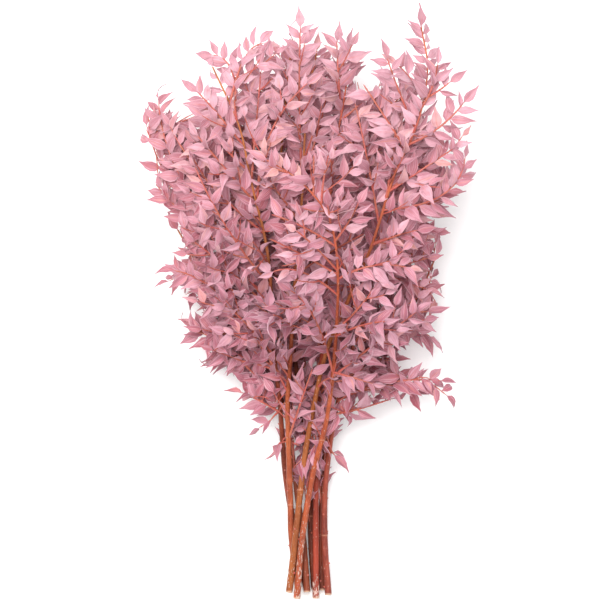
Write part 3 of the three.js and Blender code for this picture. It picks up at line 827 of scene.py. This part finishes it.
class Finish:
    """A material's nodes, set out in the order that the colours are laid on."""

    def __init__(self, name):
        self.material = bpy.data.materials.new(name)
        self.material.use_nodes = True
        self.nodes = self.material.node_tree.nodes
        self.links = self.material.node_tree.links
        self.shader = self.nodes["Principled BSDF"]

    def node(self, kind, settings=(), **inputs):
        made = self.nodes.new("ShaderNode" + kind)
        for name, value in dict(settings).items():
            setattr(made, name, value)
        for name, value in inputs.items():
            numbered = name[0] == "i" and name[1:].isdigit()
            self.feed(made.inputs[int(name[1:]) if numbered else name], value)
        return made

    def out(self, kind, settings=(), **inputs):
        return self.node(kind, settings, **inputs).outputs[0]

    def finish(self, **inputs):
        """Feeds the shader's own sockets. A name's words are parted by underscores."""
        for name, value in inputs.items():
            self.feed(self.shader.inputs[name.replace("_", " ")], value)

    def feed(self, socket, value):
        if isinstance(value, bpy.types.NodeSocket):
            self.links.new(value, socket)
        else:
            socket.default_value = value

    def here(self):
        """Object coordinates, in metres."""
        return self.node("TexCoord").outputs["Object"]

    def parts(self, where):
        return self.node("SeparateXYZ", Vector=where).outputs

    def attribute(self, name):
        return self.node("Attribute", {"attribute_name": name}).outputs["Fac"]

    def noise(self, scale, detail, stretch=(1, 1, 1), shift=(0, 0, 0), where=None, rough=0.55):
        """Noise on stretched and shifted coordinates, the object's own where no others are given."""
        where = self.here() if where is None else where
        spot = self.out("Mapping", Vector=where, Scale=stretch, Location=shift)
        return self.out("TexNoise", Vector=spot, Scale=scale, Detail=detail, Roughness=rough)

    def sum(self, how, a, b=0.0):
        return self.out("Math", {"operation": how}, i0=a, i1=b)

    def times(self, a, b):
        return self.sum("MULTIPLY", a, b)

    def fade(self, value, start, end, low=0.0, high=1.0):
        made = self.node("MapRange", {"interpolation_type": "SMOOTHSTEP"})
        for socket, number in zip(("From Min", "From Max", "To Min", "To Max"), (start, end, low, high)):
            made.inputs[socket].default_value = number
        self.feed(made.inputs["Value"], value)
        return made.outputs[0]

    def ramp(self, value, stops):
        made = self.node("ValToRGB", i0=value)
        bar = made.color_ramp.elements
        while len(bar) < len(stops):
            bar.new(0.5)
        for element, (place, colour) in zip(bar, stops):
            element.position = place
            element.color = (*colour, 1)
        return made.outputs[0]

    def lay(self, share, under, over):
        made = self.node("Mix", {"data_type": "RGBA"})
        self.feed(made.inputs["Factor"], share)
        for socket, value in ((made.inputs[6], under), (made.inputs[7], over)):
            self.feed(socket, value if isinstance(value, bpy.types.NodeSocket) else (*value, 1))
        return made.outputs[2]

    def coats(self, colour, *coats):
        """Lays colours on in turn, each as strongly as its value's fade says."""
        for value, fades, over in coats:
            colour = self.lay(self.fade(value, *fades), colour, over)
        return colour

    def bump(self, height, depth, strength):
        return self.out("Bump", Height=height, Distance=depth, Strength=strength)


# A leaf's colours by its tone: low in the head, and high in it
MAUVES = [(0.0, (0.25, 0.056, 0.092)), (0.35, (0.35, 0.120, 0.176)), (0.65, (0.42, 0.195, 0.268)),
          (0.93, (0.52, 0.310, 0.385)), (1.0, (0.54, 0.20, 0.19))]
ROSES = [(0.0, (0.29, 0.060, 0.080)), (0.3, (0.40, 0.130, 0.170)), (0.62, (0.485, 0.205, 0.258)),
         (0.88, (0.57, 0.31, 0.365)), (1.0, (0.66, 0.30, 0.25))]
# painted highlight: leaves paler and greyer towards the top end of the head
TOP_PAINTED_HIGHLIGHT = (0.59, 0.375, 0.435)
# painted shade: a deep wine laid over the leaves that lie low, deep in the head, by their height over the
# floor
LOW_PAINTED_SHADE_WINE = (0.36, 0.055, 0.066)
PATCH_PLUM = (0.30, 0.095, 0.125)
VEIN_PALE = (0.64, 0.37, 0.44)
FIBRE_DARK = (0.24, 0.06, 0.09)
BLUSH_ORANGE = (0.62, 0.25, 0.17)
RIB_RED = (0.50, 0.13, 0.11)
ROOT_RED = (0.44, 0.10, 0.08)
EDGE_PALE = (0.66, 0.45, 0.50)


def leaf_skin():
    """Papery dyed leaf: a tone of its own, fine veins, a salmon rib and root, and pale thin edges, with
    painted shade on the leaves that lie low over the floor and a painted highlight towards the top end of the
    head.
    """
    skin = Finish("leaf_skin")
    tone = skin.attribute("tone")
    across, along = skin.parts(skin.out("UVMap"))[:2]
    own = skin.out("CombineXYZ", X=across, Y=along, Z=skin.times(tone, 37.0))
    veins = skin.noise(1.0, 2.0, (17, 0.8, 1), where=own)
    fibres = skin.noise(1.0, 2.0, (46, 2.2, 1), where=own)
    blushes = skin.noise(1.0, 2.0, (3.2, 0.7, 1), (3, 5, 0), own)
    patches = skin.noise(95.0, 3.0)
    off_rib = skin.sum("ABSOLUTE", skin.sum("SUBTRACT", across, 0.5))
    height, above = skin.parts(skin.here())[1:]
    dye = skin.lay(skin.fade(height, -0.14, 0.16), skin.ramp(tone, MAUVES), skin.ramp(tone, ROSES))
    colour = skin.coats(
        dye,
        # painted highlight: a pale overlay that grows towards the top end of the head
        (height, (0.1, 0.26, 0, 0.38), TOP_PAINTED_HIGHLIGHT),
        # painted shade: the lower a leaf lies over the floor, the more deep wine it gets
        (above, (0.04, 0.16, 0.48, 0), LOW_PAINTED_SHADE_WINE),
        (patches, (0.35, 0.7, 0, 0.5), PATCH_PLUM),
        (veins, (0.46, 0.64, 0, 0.5), VEIN_PALE),
        (fibres, (0.34, 0.50, 0.32, 0), FIBRE_DARK),
        (blushes, (0.60, 0.76, 0, 0.5), BLUSH_ORANGE))
    rib = skin.times(skin.fade(off_rib, 0.02, 0.11, 1, 0), skin.fade(along, 0.0, 0.75, 1, 0.12))
    own_share = skin.sum("FRACT", skin.times(tone, 7.0))
    rib_shows = skin.times(rib, skin.fade(own_share, 0, 1, 0.15, 0.75))
    colour = skin.coats(
        skin.lay(rib_shows, colour, RIB_RED),
        (along, (0.02, 0.16, 0.65, 0), ROOT_RED),
        (off_rib, (0.44, 0.5, 0, 0.4), EDGE_PALE))
    relief = skin.sum("ADD", skin.times(veins, 0.7), skin.times(fibres, 0.3))
    skin.finish(Base_Color=colour, Roughness=skin.fade(fibres, 0.3, 0.7, 0.42, 0.62),
                Specular_IOR_Level=0.5, Sheen_Weight=0.16, Sheen_Tint=(0.92, 0.88, 1.0, 1),
                Normal=skin.bump(relief, 0.0005, 0.6))
    return skin.material


FLECK_PALE = (0.46, 0.28, 0.22)
CHIP_PALE = (0.58, 0.42, 0.36)
RING_PALE = (0.50, 0.22, 0.14)
FOOT_EDGE = (0.56, 0.38, 0.27)
NO_CHIPS = 0.80


def shade(colour, times, more=0.0):
    return tuple(min(1, times * part + more) for part in colour)


def cane_bark(name, foot, rings, ripe, deep, crown, flecked, bare):
    """Smooth dry bark with streaks of two browns, pale flecks and rings, chipped by the foot."""
    bark = Finish(name)
    streaks = bark.noise(1.0, 4.0, (300, 14, 300))
    clouds = bark.noise(1.0, 3.0, (60, 22, 60), (3, 1, 7))
    grain = bark.noise(1.0, 3.0, (1500, 60, 1500))
    flecks = bark.noise(1.0, 2.0, (620, 260, 620), (1, 5, 2))
    chips = bark.noise(1.0, 5.0, (430, 120, 430), (4, 2, 9), rough=0.7)
    height = bark.parts(bark.here())[1]
    colour = bark.coats(
        ripe,
        (clouds, (0.3, 0.7), deep),
        (height, (-0.06, 0.12, 0, 0.9), crown),
        (streaks, (0.45, 0.75, 0, 0.6), shade(deep, 0.45)),
        (streaks, (0.30, 0.46, 0.55, 0), shade(ripe, 1.35, 0.02)),
        (grain, (0.35, 0.6, 0.3, 0), shade(ripe, 1.5, 0.03)),
        (flecks, (flecked, flecked + 0.04, 0, 0.8), FLECK_PALE))
    by_the_foot = bark.fade(height, bare[0], bare[1], 1, 0)
    threshold = bark.sum("SUBTRACT", NO_CHIPS, bark.times(by_the_foot, NO_CHIPS - bare[2]))
    chipped = bark.fade(bark.sum("SUBTRACT", chips, threshold), 0.0, 0.02)
    colour = bark.lay(bark.times(chipped, 0.85), colour, CHIP_PALE)
    for ring in rings:
        off_ring = bark.sum("ABSOLUTE", bark.sum("SUBTRACT", height, ring))
        colour = bark.lay(bark.fade(off_ring, 0.0003, 0.0012, 0.5, 0), colour, RING_PALE)
    colour = bark.lay(bark.fade(height, foot + 0.0006, foot + 0.0022, 0.7, 0), colour, FOOT_EDGE)
    raised = bark.sum("ADD", bark.times(streaks, 0.5), grain)
    relief = bark.sum("SUBTRACT", raised, bark.times(chipped, 0.8))
    bark.finish(Base_Color=colour, Roughness=bark.fade(clouds, 0.3, 0.7, 0.30, 0.5),
                Specular_IOR_Level=0.22, Normal=bark.bump(relief, 0.0004, 0.7))
    return bark.material


def twig_skin():
    """Thin coral-red bark of branches and twigs."""
    skin = Finish("twig_skin")
    clouds, grain = skin.noise(75.0, 3.0), skin.noise(900.0, 3.0)
    colour = skin.coats(
        (0.42, 0.072, 0.062),
        (clouds, (0.32, 0.68), (0.39, 0.098, 0.060)),
        (grain, (0.5, 0.75, 0, 0.5), (0.58, 0.26, 0.19)))
    skin.finish(Base_Color=colour, Roughness=skin.fade(grain, 0.3, 0.7, 0.42, 0.6),
                Normal=skin.bump(grain, 0.0003, 0.6))
    return skin.material


def cut_wood():
    """The pale pith and rings of a cut end."""
    wood = Finish("cut_wood")
    fibres, stains = wood.noise(2600.0, 2.0), wood.noise(420.0, 2.0)
    colour = wood.coats(
        (0.62, 0.47, 0.31),
        (fibres, (0.35, 0.65), (0.48, 0.30, 0.18)),
        (stains, (0.5, 0.75, 0, 0.6), (0.50, 0.24, 0.15)))
    wood.finish(Base_Color=colour, Roughness=0.8, Normal=wood.bump(fibres, 0.0004, 0.8))
    return wood.material


def floor_paper():
    """White studio paper, a little mottled, that gives back some light of its own."""
    paper = Finish("floor_paper")
    colour = paper.lay(paper.noise(3.0, 3.0), (0.93, 0.93, 0.93), (0.90, 0.90, 0.905))
    paper.finish(Base_Color=colour, Emission_Color=colour, Emission_Strength=0.1, Roughness=0.9)
    return paper.material


GOLDEN_BARK = (0.46, 0.165, 0.055)
CORAL_BARK = (0.44, 0.098, 0.055)
# Each cane's two browns, the colour of its crown, how few flecks it has, and where by its foot the bark is
# chipped: from y, to y, how little. The low canes and those behind have darker browns, partly their own
# colour and partly painted shade where the bunch shades them.
CANE_BROWNS = {
    "stem_front": ((0.35, 0.074, 0.026), (0.22, 0.036, 0.014), CORAL_BARK, 0.64, (-0.28, -0.15, 0.545)),
    "stem_right_tall": ((0.31, 0.090, 0.024), (0.19, 0.044, 0.013), CORAL_BARK, 0.66, (-0.31, -0.20, 0.60)),
    "stem_centre_tall": ((0.34, 0.082, 0.030), (0.22, 0.040, 0.016), GOLDEN_BARK, 0.68, (-0.32, -0.28, 0.66)),
    "stem_left_tall": ((0.22, 0.042, 0.018), (0.12, 0.021, 0.010), GOLDEN_BARK, 0.70, (-0.32, -0.30, 0.68)),
    "stem_centre": ((0.31, 0.043, 0.021), (0.20, 0.026, 0.013), CORAL_BARK, 0.68, (-0.315, -0.285, 0.50)),
    "stem_right": ((0.25, 0.046, 0.024), (0.15, 0.025, 0.017), CORAL_BARK, 0.67, (-0.32, -0.26, 0.63)),
    "stem_low_right": ((0.16, 0.029, 0.011), (0.10, 0.016, 0.007), CORAL_BARK, 0.68, (-0.32, -0.30, 0.64)),
    "stem_low_left": ((0.20, 0.038, 0.012), (0.12, 0.020, 0.007), GOLDEN_BARK, 0.68, (-0.32, -0.30, 0.64)),
    "stem_behind": ((0.14, 0.026, 0.010), (0.09, 0.014, 0.006), GOLDEN_BARK, 0.69, (-0.32, -0.30, 0.66)),
}

LEAF_SKIN = leaf_skin()
TWIG_SKIN = twig_skin()
CUT_WOOD = cut_wood()

# The masters of what repeats

# Of each kind of leaf: width, fold, arch, hook, twist and wave
LEAF_KINDS = [
    (1.14, 0.26, 0.06, 0.15, 0.12, 0.08), (1.00, 0.48, 0.05, 0.45, -0.40, 0.14),
    (1.34, 0.12, 0.08, -0.10, 0.22, 0.18), (1.10, 0.38, 0.08, 0.65, 0.50, 0.12),
    (0.84, 0.76, 0.04, 0.20, -0.25, 0.18), (1.24, -0.20, 0.05, 0.45, 0.20, 0.16),
    (1.06, 0.22, 0.11, 0.95, -0.55, 0.18), (1.18, 0.44, -0.03, -0.40, 0.45, 0.14),
]
LEAF_MASTERS = [model_leaf(f"leaf_kind_{i}", *kind) for i, kind in enumerate(LEAF_KINDS)]
for master in LEAF_MASTERS:
    master.data.materials.append(LEAF_SKIN)
    master.data.attributes.new("tone", "FLOAT", "POINT")


BEFORE_KNOT = (0.22, 0.97)  # share of the way to the next knot, and of the thickness
AFTER_KNOT = (0.15, 0.95)
LAST_KNOT = 0.6
BLUNT_TIP = 0.7
BUD_MARKS = [(0.0, 0.0011), (0.0007, 0.00125), (0.0015, 0.0008), (0.0022, 0.0002)]


def knotted_marks(thick, thin, knots, swell):
    """Marks of a stick of length 1 that thins evenly and swells at its knots, where leaves sit."""
    marks = [(0.0, thick)]
    for i in range(1, knots + 1):
        here = i / (knots + LAST_KNOT)
        radius = mix(thick, thin, here)
        marks += [(here - BEFORE_KNOT[0] / knots, radius * BEFORE_KNOT[1]), (here, radius * swell),
                  (here + AFTER_KNOT[0] / knots, radius * AFTER_KNOT[1])]
    return marks + [(1.0, thin * BLUNT_TIP)]


BRANCH_MASTER = model_stick("branch_master", knotted_marks(0.00140, 0.00075, 9, 1.28), 7)
TWIG_MASTER = model_stick("twig_master", knotted_marks(0.00085, 0.00050, 3, 1.35), 5)
BUD_MASTER = model_stick("bud_master", BUD_MARKS, 6)
for master in (BRANCH_MASTER, TWIG_MASTER, BUD_MASTER):
    master.data.materials.append(TWIG_SKIN)
    smooth(master, 60)

# The stems


CANE_MARKS = 64
CANE_SIDES = 16
# How far a joint ring stands out, in mm, by how many times RING_HALF a mark is from its middle
RING_SHAPE = {-2.2: 0.0, -1.1: 0.12, -0.45: 0.62, 0.0: 0.30, 0.45: 0.72, 1.2: 0.12, 2.2: 0.0}
RING_CLEAR = 2.6
WANDER = 0.04
FOOT_WANDER = (0.1, 0.94)  # up to this share of the cane it is no thicker than this
BARK_THICKNESS = 0.00035
PITH_INSET = 0.0011
PITH_DEPTH = -0.0002
ROUTE_STEPS = {"cane": 200, "branch": 24, "twig": 8}

BUDS = 9
BUDS_FROM = 0.03
BUD_STEP = 0.05
BUD_STRAY = 0.012
BUD_TURN = 2.4
BUD_SUNK = 0.7
BUD_LEAN = 0.9

SHORTER = 0.98  # the blades, than the rule's leaves
ON_EDGE = 0.2  # a leaf whose face looks less far up is turned up a little
TURNED_UP = np.array([0, 0, 0.6])

LEAF_SEED = (5000, 91)  # of the first stem, and what each next one adds
TWIG_SEED = (9000, 131)
CANE_TWIGS_FROM = 0.46
BRANCH_FOR_TWIGS = 40  # mm, the shortest that bears them
BARE_BRANCH_MOST = 0.6


def route_of(bar, kind):
    steps = ROUTE_STEPS[kind]
    return [in_metres(bar.curve(k / steps)) for k in range(steps + 1)]


def cane_piece(stem, bar):
    """A cane with swollen joints, laid along its route, its cut end inset and pale."""
    name = stem + "_cane"
    spots = [i / CANE_MARKS for i in range(CANE_MARKS + 1)]
    swells = {}
    for ring in bar.rings:
        for k, swell in RING_SHAPE.items():
            swells[ring + k * RING_HALF / bar.length] = swell
        spots = [t for t in spots if abs(t - ring) > RING_CLEAR * RING_HALF / bar.length]
    marks = []
    for t in sorted({*spots, *swells}):
        wander = 1 + WANDER * math.sin(37 * t + 5 * len(name)) * math.sin(11 * t + 1)
        if t < FOOT_WANDER[0]:
            wander = min(wander, FOOT_WANDER[1])
        marks.append((t, (cane_radius(t) * wander + swells.get(t, 0.0)) / 1000))
    stick = model_stick(name, marks, CANE_SIDES)
    heights = [in_metres(bar.curve(t)).y for t in (0, *bar.rings)]
    stick.data.materials.append(cane_bark(name + "_bark", heights[0], heights[1:], *CANE_BROWNS[stem]))
    stick.data.materials.append(CUT_WOOD)
    bpy.context.view_layer.objects.active = stick
    start_edit("FACE")
    pick(stick, lambda face: face.normal.x < -0.9, "faces")
    bpy.ops.mesh.inset(thickness=BARK_THICKNESS, depth=0.0)
    stick.active_material_index = 1
    bpy.ops.object.material_slot_assign()
    bpy.ops.mesh.inset(thickness=PITH_INSET, depth=PITH_DEPTH)
    end_edit()
    lay_along(stick, route_of(bar, "cane"))
    return stick


def press_leaf(places):
    """Squeezes a leaf's points in above the floor, with its thickness kept."""
    half = len(places) // 2
    middle = (places[:half, 2] + places[half:, 2]) / 2
    shift = pressed(middle * 1000, PRESS_LEAF, LEAF_FLOOR) / 1000 - middle
    places[:half, 2] += shift
    places[half:, 2] += shift


def set_leaf(leaf, name):
    """A copy of one of the leaf masters, turned to its root and pressed where it reaches the floor."""
    root, points, face, size, random = leaf
    kind = int((random[0] * 7.3 + random[3] * 5.1) * 8) % len(LEAF_MASTERS)
    tone = (random[1] * 3.7 + random[5] * 2.3) % 1
    twin = copy_of(LEAF_MASTERS[kind], name)
    if abs(face[2]) < ON_EDGE:
        face = square_to(face + TURNED_UP, points)
    y, z = Vector(points), Vector(face)
    turn = Matrix((y.cross(z), y, z)).transposed().to_4x4()
    scale = size / LEAF_LENGTH * SHORTER
    twin.data.transform(Matrix.Translation(in_metres(root)) @ turn @ Matrix.Scale(scale, 4))
    count = len(twin.data.vertices)
    places = np.empty(count * 3, np.float32)
    twin.data.vertices.foreach_get("co", places)
    places = places.reshape(-1, 3)
    if places[:, 2].min() < PRESS_LEAF / 1000:
        press_leaf(places)
        twin.data.vertices.foreach_set("co", places.ravel())
    twin.data.attributes["tone"].data.foreach_set("value", np.full(count, tone, np.float32))
    return twin, places


def stays(leaf):
    return not hides_wood(leaf) and (leaf[4][4] > BAY_SHARE or not in_a_bay(spot_on(leaf, 1)))


def own_leaves(own, cane, branches):
    """The leaves of a stem's cane and branches, and its twigs, shoots and sprigs, each with its leaves."""
    name = STEMS[own][0]
    draw = draws_from(*LEAF_SEED, own)
    leaves = leaves_along(cane, CROWN_SHARE, draw)
    for bar in branches:
        leaves += leaves_along(bar, min(BARE_BRANCH_MOST, BARE_BRANCH / bar.length), draw)
    draw = draws_from(*TWIG_SEED, own)
    twigs = side_twigs(cane, CANE_TWIGS_FROM, TWIG_EVERY[name], draw)
    for bar in branches:
        if bar.length > BRANCH_FOR_TWIGS:
            twigs += side_twigs(bar, BARE_TWIG, TWIG_EVERY[name], draw)
    leafy = []
    for bar in twigs:
        grown = leaves_along(bar, BARE_TWIG, draw, TWIG_LEAF_STEP, TWIG_LEAF, TWIG_UPWARD)
        leafy.append((bar, [leaf for leaf in grown if not in_a_bay(spot_on(leaf, 1))]))
    for y, knee, tip in SHOOTS.get(name, []):
        start = cane.middle(at_height(cane.curve, y))
        shoot = branch_bar(start, np.array(knee, float), np.array(tip, float))
        grown = leaves_along(shoot, BARE_TWIG, draw, TWIG_LEAF_STEP, SHOOT_LEAF)
        leafy.append((shoot, [leaf for leaf in grown if not hides_wood(leaf, 0, SHOOT_WIDTH)]))
    for ends in SPRIGS.get(name, []):
        sprig = branch_bar(*np.array(ends, float))
        leafy.append((sprig, leaves_along(sprig, BARE_SPRIG, draw, TWIG_LEAF_STEP, SHOOT_LEAF)))
    return leaves, leafy


def set_bud(cane, t, turn, name):
    """A copy of the bud master, half sunk in its cane and leaning towards the tip."""
    along = heading_at(cane.curve, t)
    up = square_to(np.array([0.0, 0.0, 1.0]), along)
    side = turned(up, np.cross(along, up), turn)
    lean = unit(side + along * BUD_LEAN)
    across = unit(np.cross(lean, along))
    bud = copy_of(BUD_MASTER, name)
    place = in_metres(cane.curve(t) + side * (cane_radius(t) - BUD_SUNK))
    stands = Matrix((Vector(lean), Vector(across), Vector(np.cross(lean, across)))).transposed().to_4x4()
    bud.data.transform(Matrix.Translation(place) @ stands)
    return bud


def wood_of(own, cane, branches, twigs):
    """A stem's cane with its buds, branches and twigs, as one piece."""
    name = STEMS[own][0]
    wood = [cane_piece(name, cane)]
    for i in range(BUDS):
        t = BUDS_FROM + i * BUD_STEP + BUD_STRAY * math.sin(5 * i + own)
        wood.append(set_bud(cane, t, BUD_TURN * i + own, f"{name}_bud_{i}"))
    for kind, master, bars in (("branch", BRANCH_MASTER, branches), ("twig", TWIG_MASTER, twigs)):
        for i, bar in enumerate(bars):
            stick = copy_of(master, f"{name}_{kind}_{i}")
            lay_along(stick, route_of(bar, kind))
            wood.append(stick)
    whole = joined(name + "_cane", wood)
    smooth(whole, 40)
    return whole


def foliage_of(own, leaves):
    """A stem's leaves that fit, as one piece."""
    name = STEMS[own][0]
    blades = []
    for i, leaf in enumerate(leaves):
        twin, places = set_leaf(leaf, f"{name}_leaf_{i}")
        if in_the_box(places, LEAF_MARGIN, LEAF_LOWEST):
            blades.append(twin)
        else:
            drop(twin)
    return joined(name + "_leaves", blades)


def dress_stem(own, cane, branches, leaves, leafy):
    """Two pieces that stand for a stem: its wood, and its leaves."""
    leaves = [leaf for leaf in leaves if stays(leaf)]
    twigs = []
    for twig, twig_leaves in leafy:
        kept = [leaf for leaf in twig_leaves if stays(leaf)]
        if len(kept) >= TWIG_NEEDS:
            twigs.append(twig)
            leaves += kept
    wood = wood_of(own, cane, branches, twigs)
    foliage = foliage_of(own, leaves)
    for piece, slot in ((wood, "cane"), (foliage, "leaf")):
        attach(piece, "root")
        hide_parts(STEMS[own][0])


canes = [cane_bar(points, rings) for _, _, points, rings, _ in STEMS]
branches = grow_branches(canes)
SHOWN = open_points(canes, branches)
grown = [own_leaves(own, *bars) for own, bars in enumerate(zip(canes, branches))]
covers = [[leaf for leaf in leaves + [leaf for _, more in leafy for leaf in more] if stays(leaf)]
          for leaves, leafy in grown]
fills = filling_twigs(branches, covers)
for own, (leaves, leafy) in enumerate(grown):
    dress_stem(own, canes[own], branches[own], leaves, leafy + fills[own])

for master in [*LEAF_MASTERS, BRANCH_MASTER, TWIG_MASTER, BUD_MASTER]:
    drop(master)

# Floor

FLOOR_SIZE = 60

bpy.ops.object.select_all(action="DESELECT")
bpy.ops.mesh.primitive_plane_add(size=FLOOR_SIZE, location=(0, 0, 0))
floor = bpy.context.object
floor.name = "floor"
floor.data.materials.append(floor_paper())
